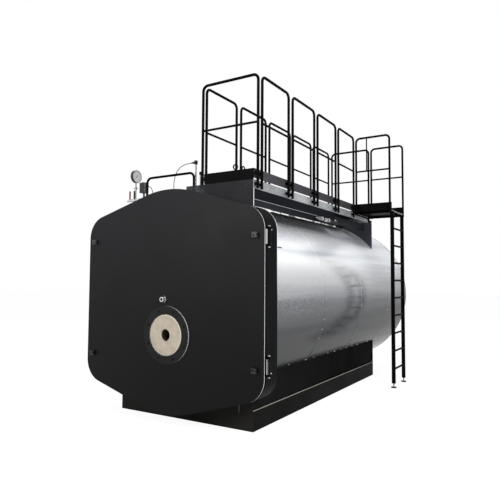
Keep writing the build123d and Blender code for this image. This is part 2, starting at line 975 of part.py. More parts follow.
def instruments():
    """Gauge, cocks, pressure switch, guard hoop and level probes."""
    y = instrument_y
    manifold = rod_x(manifold_radius, y, manifold_height, manifold_left, manifold_right)
    nozzle = rod_z(manifold_radius, manifold_nozzle_x, y, axis_height, manifold_height)
    shell = rod_y(shell_radius, 0, axis_height, 0, shell_end)
    manifold += nozzle - shell
    top = manifold_height + manifold_radius
    save(manifold, "instrument_manifold")

    pipe = rod_x(manifold_radius, y, manifold_height, manifold_left, manifold_right)
    gauge_height = manifold_height + gauge_rise
    cock = manifold_height + cock_rise
    stem = rod_z(gauge_stem_radius, gauge_x, y, manifold_height, gauge_height - gauge_radius)
    stem += rod_z(cock_radius, gauge_x, y, cock - cock_height / 2, cock + cock_height / 2)
    stem += rod_x(cock_arm_radius, y, cock, gauge_x - cock_arm, gauge_x + cock_arm)
    case_back = gauge_x - gauge_depth / 2
    case_front = gauge_x + gauge_depth / 2
    stem -= rod_x(gauge_radius, y, gauge_height, case_back - 1, case_front + 1)
    gauge = rod_x(gauge_radius, y, gauge_height, case_back, case_front)
    gauge = fillet(gauge.edges().group_by(Axis.X)[0], gauge_back_fillet)
    dial_radius = gauge_radius - gauge_rim
    gauge -= rod_x(dial_radius, y, gauge_height, case_front - gauge_rim, case_front + 1)
    save(gauge, "pressure_gauge")
    save(stem - pipe, "gauge_stem")

    for name, x in (("red_valve_lever", red_lever_x), ("black_valve_lever", black_lever_x)):
        low = top + lever_stem_height
        lever = rod_z(lever_stem_radius, x, y, manifold_height, low)
        lever += box(
            x - lever_thickness / 2,
            x + lever_thickness / 2,
            y - lever_width / 2,
            y + lever_width / 2,
            low,
            low + lever_height,
        )
        save(lever - pipe, name)

    half = switch_width / 2
    box_top = switch_bottom + switch_height
    switch = box(
        switch_x - half,
        switch_x + half,
        y - switch_depth / 2,
        y + switch_depth / 2,
        switch_bottom,
        box_top,
    )
    switch = fillet(switch.edges().filter_by(Axis.Z), switch_fillet)
    switch += rod_z(switch_stem_radius, switch_x, y, manifold_height, switch_bottom)
    cap_x = switch_x - switch_cap_offset
    switch += rod_z(switch_cap_radius, cap_x, y, box_top, box_top + switch_cap_height)
    switch_gland = rod_x(
        switch_gland_radius,
        y,
        switch_bottom + switch_gland_rise,
        switch_x + half,
        switch_x + half + switch_gland_length,
    )
    save(switch + switch_gland - pipe, "pressure_switch")

    guard = hoop(
        (hoop_left, hoop_y),
        (hoop_right, hoop_y),
        axis_height + shell_radius / 2,
        shell_crown + hoop_rise,
        hoop_tube_radius,
        hoop_bend_radius,
    )
    save(guard - shell, "guard_hoop")

    rod_bottom = axis_height
    body = rod_z(probe_rod_radius, probe_x, probe_y, rod_bottom, probe_height)
    boss_top = shell_top(probe_x) + probe_boss_height
    body += rod_z(probe_boss_radius, probe_x, probe_y, rod_bottom, boss_top)
    body -= shell
    save(body, "level_probe")
    head = rod_z(
        probe_head_radius, probe_x, probe_y, probe_height, probe_height + probe_head_height
    )
    head = fillet(head.edges().group_by(Axis.Z)[-1], probe_head_fillet)
    head += rod_x(
        head_gland_radius,
        probe_y,
        probe_height + probe_head_height / 2,
        probe_x - probe_head_radius - head_gland_length,
        probe_x,
    )
    short_height = shell_crown + short_probe_rise
    short = rod_z(short_probe_rod_radius, short_probe_x, probe_y, rod_bottom, short_height)
    boss_top = shell_top(short_probe_x) + probe_boss_height
    short += rod_z(short_probe_boss_radius, short_probe_x, probe_y, rod_bottom, boss_top)
    short -= shell
    save(short, "short_level_probe")
    cap_top = short_height + short_probe_cap_height
    cap = rod_z(short_probe_cap_radius, short_probe_x, probe_y, short_height, cap_top)
    cap = fillet(cap.edges().group_by(Axis.Z)[-1], short_probe_cap_fillet)
    save(Compound(children=[head, cap]), "level_probe_head")

    glands = []
    for x, place in ((probe_gland_x, probe_y), (switch_gland_x, y)):
        gland = rod_z(gland_radius, x, place, axis_height, shell_top(x) + gland_reach)
        glands.append(gland - shell)
    save(Compound(children=glands), "cable_glands")


def cables():
    """Leads of the level probe and the pressure switch, each held at both ends."""
    height = probe_height + probe_head_height / 2
    start = probe_x - probe_head_radius - head_gland_length
    save(cable_between(start, height, probe_cable_route, probe_gland_x, probe_y), "probe_cable")
    height = switch_bottom + switch_gland_rise
    start = switch_x + switch_width / 2 + switch_gland_length
    lead = cable_between(start, height, switch_cable_route, switch_gland_x, instrument_y)
    save(lead, "switch_cable")


def cable_between(start, height, route, gland_x, y):
    """A lead from a side gland over its route to the gland on the shell."""
    points = [(start, y, height)]
    points += [(x, y, height - drop) for x, drop in route]
    points.append((gland_x, y, shell_top(gland_x) + gland_reach))
    return cable_tube(points)


def cable_tube(points):
    """A round cable along a route of runs joined by tangent arcs."""
    points = [Vector(*p) for p in points]
    radii = []
    for before, here, after in zip(points, points[1:], points[2:]):
        turn = radians((here - before).get_angle(after - here))
        shorter = min((here - before).length, (after - here).length)
        radii.append(0.45 * shorter / tan(turn / 2))
    print("radii of the lead's arcs", [round(r) for r in radii])
    path = FilletPolyline(*points, radius=radii)
    section = Plane(origin=points[0], z_dir=path % 0) * Circle(cable_radius)
    tube = sweep(section, path=path)
    share = tube.volume / (pi * cable_radius**2 * path.length)
    print("length of the lead", round(path.length), "volume over section times length", share)
    return tube


front_door()
fixed_hinges()
boiler_body()
rear_end()
base()
walkway_frame()
lifting_eyes()
toe_boards()
handrails()
side_platform()
instruments()
cables()
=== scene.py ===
from math import cos, pi, radians, sin
import random

import bmesh
import bpy
from mathutils import Matrix, Vector


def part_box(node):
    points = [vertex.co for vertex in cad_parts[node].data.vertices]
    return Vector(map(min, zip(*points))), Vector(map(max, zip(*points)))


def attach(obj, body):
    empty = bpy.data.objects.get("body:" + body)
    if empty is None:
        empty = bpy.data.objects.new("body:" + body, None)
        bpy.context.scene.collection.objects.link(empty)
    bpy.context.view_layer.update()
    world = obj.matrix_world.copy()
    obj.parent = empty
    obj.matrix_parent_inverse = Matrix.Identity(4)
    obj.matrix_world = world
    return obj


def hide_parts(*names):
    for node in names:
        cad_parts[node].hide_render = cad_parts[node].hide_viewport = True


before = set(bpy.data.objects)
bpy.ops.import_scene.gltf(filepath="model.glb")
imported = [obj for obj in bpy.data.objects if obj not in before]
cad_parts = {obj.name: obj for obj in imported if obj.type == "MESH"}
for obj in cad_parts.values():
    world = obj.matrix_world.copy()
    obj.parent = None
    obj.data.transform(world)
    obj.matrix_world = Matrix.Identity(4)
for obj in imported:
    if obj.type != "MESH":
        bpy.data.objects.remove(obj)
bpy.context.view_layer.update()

# Everything is in metres, in the frame of the CAD: +Z up, +Y to the rear, the door at the
# front. door_face_y is the place of the door's outer face.
door_face_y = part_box("door_skin")[0].y
shell_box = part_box("cladding_sheet_1")
shell_radius = (shell_box[1].x - shell_box[0].x) / 2
axis_z = (shell_box[0].z + shell_box[1].z) / 2
casing_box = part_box("front_casing")
burner_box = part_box("burner_plate")
burner_z = (burner_box[0].z + burner_box[1].z) / 2

# The rib along the side channel stands at this height.
channel_seam_z = 2.3115

SEED = 7

# Directions in the frame.
to_right = Vector((1, 0, 0))
to_rear = Vector((0, 1, 0))
to_front = Vector((0, -1, 0))
to_top = Vector((0, 0, 1))


def grey(value):
    return (value, value, value)


def empty_tree(owner):
    """The node tree of a material or world, with nothing in it."""
    owner.use_nodes = True
    owner.node_tree.nodes.clear()
    return owner.node_tree


class Surface:
    """A node material: a Principled shader and helpers for what drives its sockets."""

    def __init__(self, name, roughness=0.5, metallic=0.0, specular=0.5):
        self.material = bpy.data.materials.new(name)
        self.tree = empty_tree(self.material)
        self.shader = self.add("BsdfPrincipled")
        self.add("OutputMaterial", {"Surface": self.shader.outputs["BSDF"]})
        self.set("Roughness", roughness)
        self.set("Metallic", metallic)
        self.set("Specular IOR Level", specular)
        self.place = self.add("TexCoord").outputs["Object"]
        self.height = None

    def feed(self, socket, value):
        """Links a socket to a source, or gives it a number, a vector or a colour."""
        if isinstance(value, bpy.types.NodeSocket):
            self.tree.links.new(value, socket)
        elif socket.type == "RGBA":
            socket.default_value = (*value, 1)
        else:
            socket.default_value = value

    def add(self, kind, inputs=None, **settings):
        """A node with these settings, then what goes into its sockets."""
        node = self.tree.nodes.new("ShaderNode" + kind)
        for key, value in settings.items():
            setattr(node, key, value)
        for name, value in (inputs or {}).items():
            self.feed(node.inputs[name], value)
        return node

    def set(self, socket, value):
        self.feed(self.shader.inputs[socket], value)

    def noise(self, scale, detail=3.0, stretch=(1, 1, 1)):
        """Noise with this many lumps to the metre, finer along an axis where stretch is more."""
        mapping = self.add("Mapping", {"Vector": self.place, "Scale": stretch})
        inputs = {"Vector": mapping.outputs["Vector"], "Scale": scale, "Detail": detail}
        return self.add("TexNoise", inputs).outputs["Fac"]

    def cells(self, scale):
        """Rounded cells, as in an embossed or hammered skin."""
        inputs = {"Vector": self.place, "Scale": scale, "Smoothness": 0.6}
        return self.add("TexVoronoi", inputs, feature="SMOOTH_F1").outputs["Distance"]

    def part(self, vector, axis):
        return self.add("SeparateXYZ", {"Vector": vector}).outputs[axis]

    def axis(self, name):
        """One coordinate of the surface, in metres."""
        return self.part(self.place, name)

    def facing(self, name):
        """One part of the surface's own direction, from -1 to 1."""
        normal = self.add("NewGeometry").outputs["Normal"]
        turned = self.add("VectorTransform", {"Vector": normal},
                          vector_type="NORMAL", convert_from="WORLD", convert_to="OBJECT")
        return self.part(turned.outputs["Vector"], name)

    def remap(self, value, low, high, to_low=0.0, to_high=1.0):
        """A value that goes from to_low to to_high while another goes from low to high."""
        limits = {"From Min": low, "From Max": high, "To Min": to_low, "To Max": to_high}
        return self.add("MapRange", {"Value": value, **limits}).outputs["Result"]

    def math(self, operation, a, b):
        node = self.add("Math", operation=operation)
        self.feed(node.inputs[0], a)
        self.feed(node.inputs[1], b)
        return node.outputs["Value"]

    def ramp(self, value, stops):
        """A colour for each value, from stops of (place, (red, green, blue))."""
        node = self.add("ValToRGB", {"Fac": value})
        elements = node.color_ramp.elements
        while len(elements) < len(stops):
            elements.new(0.5)
        for element, (place, colour) in zip(elements, stops):
            element.position = place
            element.color = (*colour, 1)
        return node.outputs["Color"]

    def greys(self, value, stops):
        """A grey for each value, from stops of (place, brightness)."""
        return self.ramp(value, [(place, grey(brightness)) for place, brightness in stops])

    def blend(self, factor, a, b, mode="MIX"):
        """Colour a where factor is 0 and b where it is 1."""
        node = self.add("Mix", data_type="RGBA", blend_type=mode)
        factors = [socket for socket in node.inputs if socket.type == "VALUE"]
        colours = [socket for socket in node.inputs if socket.type == "RGBA"]
        for socket, value in zip((factors[0], *colours), (factor, a, b)):
            self.feed(socket, value)
        return [socket for socket in node.outputs if socket.type == "RGBA"][0]

    def bump(self, height, strength, distance):
        """Adds a relief that is distance metres deep."""
        inputs = {"Height": height, "Strength": strength, "Distance": distance}
        if self.height is not None:
            inputs["Normal"] = self.height
        self.height = self.add("Bump", inputs).outputs["Normal"]
        self.set("Normal", self.height)

    def tint(self, a, b):
        """One colour times another."""
        return self.blend(1.0, a, b, "MULTIPLY")

    def two_tones(self, dark, light, scale, detail=4.0):
        """A colour that drifts between two tones."""
        return self.ramp(self.noise(scale, detail), [(0.35, dark), (0.65, light)])

    def colour(self, tone):
        """Gives the surface its tone, on which later marks build."""
        self.tone = tone
        self.set("Base Color", tone)

    def gloss(self, scale, low, high):
        """A roughness that drifts between two values."""
        self.set("Roughness", self.remap(self.noise(scale), 0.3, 0.7, low, high))

    def along(self, axis, low, high, to_low=0.0, to_high=1.0):
        """A value that goes from to_low to to_high between two places on an axis."""
        return self.remap(self.axis(axis), low, high, to_low, to_high)

    def within(self, axis, low, high):
        """1 between two places on an axis."""
        above = self.math("GREATER_THAN", self.axis(axis), low)
        return self.both(above, self.math("LESS_THAN", self.axis(axis), high))

    def slant(self, axis):
        """How far the surface faces along an axis, either way, from 0 to 1."""
        return self.math("ABSOLUTE", self.facing(axis), 0.0)

    def faces(self, axis):
        """1 on faces that look along an axis, either way."""
        return self.math("GREATER_THAN", self.slant(axis), 0.6)

    def both(self, a, b):
        """1 where two masks are 1."""
        return self.math("MULTIPLY", a, b)

    def mark(self, mask, colour):
        """Another colour where mask is 1."""
        self.colour(self.blend(mask, self.tone, colour))

    def ground(self, low, bottom=0.1, top=2.35):
        """Paints shade: darkens the tone to the colour low towards the floor, where less light reaches it.
        """
        self.colour(self.tint(self.tone, self.blend(self.along("Z", bottom, top), low, grey(1))))


def painted(name, dark, light, roughness=(0.35, 0.5), specular=0.25, grain=600, relief=0.00008):
    """Powder coat: a fine orange peel, with a slow drift in its tone and gloss."""
    surface = Surface(name, specular=specular)
    surface.colour(surface.two_tones(dark, light, 1.6))
    surface.gloss(2.3, *roughness)
    if relief:
        surface.bump(surface.noise(grain, 2.0), 0.25, relief)
    return surface


# The casing's black, as a dark and a light tone.
casing_black = ((0.0024, 0.0032, 0.0036), (0.0038, 0.0048, 0.0052))


def black_paint():
    """The casing's satin powder coat, with a painted highlight along its rear edge above the middle."""
    surface = painted("black_paint", *casing_black, (0.38, 0.5), 0.014)
    rear = casing_box[1].y
    # Painted highlight: the rear edge's sides are painted near white above the middle.
    edge = surface.both(surface.within("Y", rear - 0.007, rear + 0.001), surface.along("Z", 1.35, 1.85))
    outward = surface.math("LESS_THAN", surface.slant("Y"), 0.5)
    surface.mark(surface.both(edge, outward), grey(0.85))
    return surface


def door_paint():
    """The door's front, with painted shade that darkens and warms it towards the floor, and a painted
    highlight on the sheet's cut edge.
    """
    surface = painted("door_paint", (0.0095, 0.0097, 0.0106), (0.0122, 0.0118, 0.0138), (0.38, 0.48), 0.1)
    # Painted shade: darker and warmer towards the floor.
    surface.ground((0.17, 0.11, 0.08))
    # Painted highlight: the cut edge just behind the front face is painted mid grey.
    surface.mark(surface.within("Y", door_face_y + 0.0005, door_face_y + 0.009), grey(0.5))
    return surface


def plate_paint():
    """The walkway's front plate: dark blue-grey, mottled on its left, with painted highlights on its upright
    edges.
    """
    surface = painted("plate_paint", (0.0095, 0.0095, 0.0125), (0.014, 0.0138, 0.017), (0.36, 0.46), 0.09)
    left = surface.along("X", 0.05, 0.34, 1.0, 0.0)
    mottle = surface.remap(surface.noise(16, 5.0), 0.46, 0.56)
    surface.mark(surface.both(left, mottle), (0.085, 0.092, 0.11))
    # Painted highlight: the upright edges facing sideways are painted light grey.
    surface.mark(surface.faces("X"), grey(0.8))
    return surface


def burner_paint():
    """The burner plate: painted face, and a bare rim whose shine is a painted highlight."""
    surface = painted("burner_paint", grey(0.0075), grey(0.0115), (0.32, 0.42), 0.12)
    # Painted highlight: the rim's sides are painted mid grey, where the bare edge catches light.
    surface.mark(surface.remap(surface.slant("Y"), 0.4, 0.55, 1.0, 0.0), grey(0.5))
    return surface


def base_paint():
    """The skid's black, painted lighter on its front face against the shade under the door. The flanges'
    upper edges carry a painted highlight in tan grey.
    """
    surface = painted("base_paint", (0.0058, 0.0054, 0.0052), (0.0076, 0.007, 0.0068), (0.45, 0.6), 0.013)
    # Painted light: the front face is lightened to make up for the shade under the door.
    surface.mark(surface.math("LESS_THAN", surface.facing("Y"), -0.7), (0.0235, 0.0225, 0.0195))
    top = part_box("base_side_beams")[1].z
    # Painted highlight: a tan grey line along the flanges' upper edges, on their sides.
    edge = surface.within("Z", top - 0.008, top + 0.0005)
    surface.mark(surface.both(edge, surface.faces("X")), (0.3, 0.28, 0.24))
    return surface


def skirt_paint():
    """The skirts between the skid and the shell, darker towards the rear."""
    surface = painted("skirt_paint", grey(0.0065), grey(0.009), (0.45, 0.6), 0.006)
    surface.mark(surface.along("Y", 0.4, 2.4), grey(0.0006))
    return surface


def knob_paint():
    """The door's star knobs, a little lighter than the door, with painted shade towards the floor."""
    surface = painted("knob_paint", grey(0.045), grey(0.06), (0.3, 0.4), 0.3, relief=0)
    # Painted shade: darker towards the floor.
    surface.ground(grey(0.05))
    return surface


def channel_paint():
    """The side channel: bluer below its rib, darker towards the rear, with a painted highlight on its front
    edge.
    """
    dark, light = (0.0058, 0.0065, 0.0082), (0.0085, 0.0095, 0.0115)
    surface = painted("channel_paint", dark, light, (0.3, 0.45), 0.008)
    side = surface.faces("X")
    lower = surface.both(surface.math("LESS_THAN", surface.axis("Z"), channel_seam_z), side)
    surface.mark(lower, (0.018, 0.0195, 0.025))
    surface.mark(surface.both(lower, surface.along("Y", 0.2, 1.2)), (0.008, 0.0085, 0.0105))
    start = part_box("side_channel")[0].y
    # Painted highlight: the front edge's sides are painted light grey.
    surface.mark(surface.both(surface.within("Y", start - 0.001, start + 0.006), side), grey(0.75))
    return surface


def platform_paint():
    """The side platform's black, with painted highlights along the nosing's two long edges."""
    surface = painted("platform_paint", grey(0.0012), grey(0.002), (0.5, 0.6), 0.002, relief=0)
    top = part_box("platform_frame")[1].z
    upper = surface.within("Z", top - 0.004, top + 0.001)
    lower = surface.within("Z", top - 0.0162, top - 0.0125)
    # Painted highlight: both long edges of the nosing are painted light grey on their sides.
    surface.mark(surface.both(surface.math("MAXIMUM", upper, lower), surface.faces("X")), grey(0.6))
    return surface


def toe_paint():
    """The toe boards: grey on the sides that face the light and black on the boards across, painted light
    and shade, and darker to the rear where the light falls off.
    """
    surface = painted("toe_paint", (0.042, 0.041, 0.048), (0.056, 0.055, 0.063), (0.45, 0.55), 0.03)
    # Painted light: darker towards the rear, where the light falls off.
    surface.mark(surface.along("Y", 0.3, 2.9), (0.031, 0.03, 0.032))
    # Painted shade: the boards across, turned away from the light, are painted black.
    surface.mark(surface.faces("Y"), grey(0.0022))
    return surface


def tread_paint():
    """Tread plate: dark grey on top, and black underneath as painted shade."""
    surface = painted("tread_paint", grey(0.05), grey(0.09), (0.35, 0.5), 0.01, 90)
    # Painted shade: faces turned down are painted black.
    surface.mark(surface.math("LESS_THAN", surface.facing("Z"), -0.5), grey(0.002))
    return surface


def strap_paint():
    """The hinge straps: casing black, with a painted highlight where each turns towards its pin."""
    surface = painted("strap_paint", *casing_black, (0.38, 0.5), 0.03)
    side = casing_box[1].x
    # Painted highlight: light grey on the straps' front faces where each turns towards its pin.
    upper = surface.math("GREATER_THAN", surface.axis("Z"), burner_z + 0.5)
    upper_highlight = surface.both(upper, surface.within("X", side - 0.005, side + 0.021))
    lower = surface.math("SUBTRACT", 1.0, upper)
    lower_highlight = surface.both(lower, surface.within("X", side + 0.016, side + 0.026))
    front = surface.math("LESS_THAN", surface.facing("Y"), -0.6)
    surface.mark(surface.both(surface.math("MAXIMUM", upper_highlight, lower_highlight), front), grey(0.5))
    return surface


def foot_metal():
    """The ladder's feet: bare spindle over a black pad."""
    surface = painted("foot_metal", grey(0.003), grey(0.005), (0.4, 0.5), 0.1)
    surface.mark(surface.within("Z", 0.013, 0.045), grey(0.3))
    return surface


def switch_housing():
    """The pressure switch: dark cover, lighter cheeks."""
    surface = painted("switch_housing", grey(0.02), grey(0.035), (0.4, 0.5), 0.15)
    surface.mark(surface.faces("X"), (0.17, 0.175, 0.18))
    return surface


def galvanised():
    """Hot-dip zinc with its large flat crystals, lighter towards the rear."""
    surface = Surface("galvanised", metallic=0.6, specular=0.4)
    spangle = surface.add("TexVoronoi", {"Vector": surface.place, "Scale": 70}, feature="F1")
    tone = surface.add("SeparateColor", {"Color": spangle.outputs["Color"]})
    crystals = surface.ramp(tone.outputs["Red"], [(0.0, (0.39, 0.41, 0.43)), (1.0, (0.575, 0.6, 0.62))])
    haze = surface.greys(surface.noise(5), [(0.3, 0.75), (0.7, 1.0)])
    shade = surface.blend(surface.along("Y", 0.0, 0.9, 0.56, 0.82), grey(0), grey(1))
    surface.colour(surface.tint(surface.tint(crystals, haze), shade))
    surface.set("Roughness", surface.remap(tone.outputs["Green"], 0, 1, 0.35, 0.55))
    surface.bump(surface.noise(60), 0.15, 0.0004)
    return surface


def stucco_aluminium():
    """Bright rolled sheet with a stucco emboss, darker towards the floor as a painted reflection of a darker
    hall below.

    The emboss is painted in as glints, plainly in two bands near the front, and faintly elsewhere.
    """
    surface = Surface("stucco_aluminium")
    surface.set("Specular Tint", grey(0.45))
    height = surface.along("Z", axis_z - shell_radius, axis_z + shell_radius)
    stops = (
        (0.08, 0.008), (0.14, 0.018), (0.19, 0.04), (0.25, 0.075), (0.32, 0.09), (0.4, 0.125),
        (0.44, 0.19), (0.505, 0.38), (0.572, 0.57), (0.64, 0.74), (0.69, 0.97), (0.94, 0.95),
    )
    top = (1.0, (0.66, 0.665, 0.675))
    # Painted reflection: the tone falls from near white high up to near black towards the floor, and is a
    # little darker again at the very top.
    painted_reflection = surface.ramp(height, [*((place, grey(value)) for place, value in stops), top])
    streaks = [(0.34, (0.72, 0.745, 0.79)), (0.52, (0.95, 0.97, 1.0)), (0.66, (0.99, 0.995, 1.0))]
    tone = surface.tint(painted_reflection, surface.ramp(surface.noise(1.5, 6.0, (1, 0.14, 5)), streaks))
    # Painted glints: the emboss's cells are painted lighter in their middles and darker at their rims.
    emboss = surface.greys(surface.cells(45), [(0.18, 1.3), (0.46, 0.6)])
    near = surface.along("Y", 0.9, 2.2, 0.85, 0.12)
    bands = [(0.39, 0.1), (0.44, 0.75), (0.5, 0.75), (0.55, 0.15), (0.78, 0.15), (0.87, 1.0), (1.0, 0.7)]
    painted_glints = surface.both(near, surface.greys(height, bands))
    surface.colour(surface.blend(painted_glints, tone, surface.tint(tone, emboss)))
    surface.set("Metallic", surface.remap(height, 0.6, 0.76, 0.7, 0.3))
    surface.gloss(3, 0.05, 0.09)
    surface.bump(surface.noise(1.6, 2.0), 0.15, 0.005)
    relief = surface.remap(height, 0.7, 0.88, 0.45, 1.6)
    surface.bump(surface.both(surface.cells(60), relief), 0.7, 0.0025)
    return surface


def bright_strip():
    """Thin bright foil, creased along its length, dull between the creases."""
    surface = Surface("bright_strip", metallic=1.0)
    surface.colour(surface.greys(surface.noise(9, 3.0, (0.3, 1, 0.3)), [(0.4, 0.12), (0.5, 0.95)]))
    surface.gloss(20, 0.15, 0.35)
    surface.bump(surface.noise(14, 3.0, (1, 1, 3)), 0.6, 0.006)
    return surface


def boiler_steel():
    """Mill-scaled boiler plate, browned by heat."""
    surface = Surface("boiler_steel", metallic=0.35, specular=0.3)
    surface.colour(surface.two_tones((0.05, 0.045, 0.042), (0.12, 0.09, 0.075), 9, 8))
    surface.gloss(12, 0.5, 0.75)
    surface.bump(surface.noise(120, 4.0), 0.4, 0.0005)
    return surface


def soot():
    # Near-black soot on the furnace, also used as painted shade in the smoke tubes' mouths.
    surface = Surface("soot", roughness=0.95, specular=0.05)
    surface.colour(surface.two_tones(grey(0.006), (0.016, 0.013, 0.011), 14, 6))
    surface.bump(surface.noise(80, 4.0), 0.5, 0.001)
    return surface


def refractory():
    """Cast refractory: beige, slightly mottled, with small air pits, a painted highlight on its bevelled
    rim, and dark inside its hole.
    """
    surface = Surface("refractory", roughness=0.85, specular=0.2)
    tone = surface.two_tones((0.46, 0.395, 0.31), (0.56, 0.49, 0.39), 14, 6)
    pits = surface.remap(surface.noise(130, 2.0), 0.3, 0.36)
    tone = surface.blend(pits, (0.3, 0.25, 0.18), tone)
    # Painted highlight: the rim's bevel, turned a little from the front, is painted lighter.
    bevel = surface.remap(surface.facing("Y"), -0.95, -0.78)
    tone = surface.blend(bevel, tone, (0.66, 0.6, 0.5))
    face = surface.along("Y", door_face_y + 0.006, door_face_y - 0.002)
    surface.colour(surface.blend(face, (0.05, 0.034, 0.024), tone))
    surface.bump(surface.noise(220, 3.0), 0.35, 0.0008)
    return surface


def insulation():
    """Rammed lining, rough and scorched in patches."""
    surface = Surface("insulation", roughness=0.95, specular=0.1)
    tone = surface.two_tones((0.42, 0.38, 0.32), (0.58, 0.53, 0.45), 8, 7)
    scorch = surface.remap(surface.noise(2.5, 5.0), 0.42, 0.62)
    surface.colour(surface.blend(scorch, tone, (0.26, 0.22, 0.18)))
    surface.bump(surface.noise(60, 6.0), 0.6, 0.003)
    return surface


def rope():
    surface = Surface("rope", roughness=0.95, specular=0.1)
    surface.colour(surface.two_tones((0.45, 0.44, 0.4), (0.62, 0.6, 0.56), 60))
    surface.bump(surface.noise(260, 2.0), 0.8, 0.002)
    return surface


def bare_metal(name, dark, light, roughness, scale):
    """Bare or plated metal with a fine uneven tone."""
    surface = Surface(name, metallic=1.0)
    surface.colour(surface.two_tones(dark, light, scale))
    surface.gloss(scale * 2, *roughness)
    surface.bump(surface.noise(900, 2.0), 0.2, 0.00005)
    return surface


def plastic(name, dark, light, roughness=(0.35, 0.5), specular=0.4):
    """Moulded plastic with a faint spark-eroded grain."""
    surface = Surface(name, specular=specular)
    surface.colour(surface.two_tones(dark, light, 25))
    surface.gloss(40, *roughness)
    surface.bump(surface.noise(1500, 2.0), 0.2, 0.00005)
    return surface


# What painted, bare_metal and plastic take after the name.
plain_coats = {
    "rail_paint": (grey(0.0012), grey(0.002), (0.5, 0.6), 0.03, 600, 0),
    "underframe_paint": ((0.016, 0.017, 0.021), (0.022, 0.023, 0.028), (0.45, 0.55), 0.03),
    "rear_plate_paint": ((0.048, 0.05, 0.06), (0.064, 0.067, 0.08), (0.4, 0.5), 0.1),
}
bare_metals = {
    "zinc": ((0.42, 0.43, 0.44), (0.62, 0.63, 0.64), (0.25, 0.4), 60),
    "polished_steel": (grey(0.5), grey(0.68), (0.12, 0.22), 30),
    "dull_steel": ((0.13, 0.134, 0.138), (0.24, 0.245, 0.25), (0.25, 0.4), 50),
    "brass": ((0.42, 0.33, 0.16), (0.6, 0.48, 0.25), (0.25, 0.4), 50),
}
plastics = {
    "black_plastic": (grey(0.004), grey(0.007), (0.35, 0.5), 0.12),
    "dark_plastic": (grey(0.02), grey(0.03), (0.35, 0.5), 0.2),
    "red_plastic": ((0.2, 0.008, 0.012), (0.3, 0.012, 0.02)),
    "white_dial": (grey(0.52), grey(0.6), (0.3, 0.4)),
    "print_black": (grey(0.01), grey(0.015)),
    "rubber": (grey(0.012), grey(0.022), (0.55, 0.7), 0.3),
}

# Every material by its name.
materials = {}


def make_materials():
    for make in (black_paint, door_paint, burner_paint, base_paint, skirt_paint, knob_paint, plate_paint,
                 channel_paint, platform_paint, strap_paint, foot_metal, switch_housing, toe_paint,
                 tread_paint, galvanised, stucco_aluminium, bright_strip, boiler_steel, soot, refractory,
                 insulation, rope):
        materials[make.__name__] = make().material
    for name, values in plain_coats.items():
        materials[name] = painted(name, *values).material
    for name, values in bare_metals.items():
        materials[name] = bare_metal(name, *values).material
    for name, values in plastics.items():
        materials[name] = plastic(name, *values).material


# The CAD nodes that each material dresses.
dressed = {
    "door_paint": ["door_skin"],
    "knob_paint": ["door_knobs"],
    "burner_paint": ["burner_plate", "sight_glass"],
    "refractory": ["burner_quarl"],
    "insulation": ["door_lining"],
    "strap_paint": ["door_hinge_straps"],
    "black_paint": ["front_casing", "hinge_brackets", "rear_access_door"],
    "black_plastic": ["black_valve_lever", "level_probe_head", "junction_box"],
    "red_plastic": ["red_valve_lever"],
    "dark_plastic": ["pressure_gauge"],
    "switch_housing": ["pressure_switch"],
    "dull_steel": ["level_probe", "short_level_probe", "gauge_stem"],
    "zinc": ["instrument_manifold"],
    "brass": ["cable_glands"],
    "foot_metal": ["ladder_feet"],
    "boiler_steel": [
        "front_tube_plate", "rear_tube_plate", "pressure_vessel", "smoke_tube_ends", "flue_outlet",
    ],
    "soot": ["furnace_tube"],
    "stucco_aluminium": [*(f"cladding_sheet_{i}" for i in (1, 2, 3, 4)), "rear_cover"],
    "base_paint": ["base_side_beams", "base_end_plates"],
    "skirt_paint": ["base_skirts"],
    "plate_paint": ["walkway_front_plate"],
    "rear_plate_paint": ["walkway_rear_plate"],
    "underframe_paint": ["walkway_underframe"],
    "channel_paint": ["side_channel"],
    "bright_strip": ["side_channel_trim"],
    "galvanised": ["deck_edge_plates", "hinge_pins"],
    "tread_paint": ["deck_sheet", "platform_sheet"],
    "toe_paint": ["toe_boards"],
    "platform_paint": ["platform_frame"],
}


def dress_nodes():
    """Gives each CAD node its material; what isn't listed is black like the rails."""
    chosen = {node: name for name, nodes in dressed.items() for node in nodes}
    for name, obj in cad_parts.items():
        material = materials[chosen.get(name, "rail_paint")]
        if not obj.data.materials:
            obj.data.materials.append(material)
        for i in range(len(obj.data.materials)):
            obj.data.materials[i] = material


def add_object(name, data, material=None):
    """Puts an object into the scene, in the material of that name."""
    if material:
        data.materials.append(materials[material])
    obj = bpy.data.objects.new(name, data)
    bpy.context.scene.collection.objects.link(obj)
    return obj


def turns(count, start=0.0):
    """Angles evenly round a circle."""
    return [start + 2 * pi * i / count for i in range(count)]


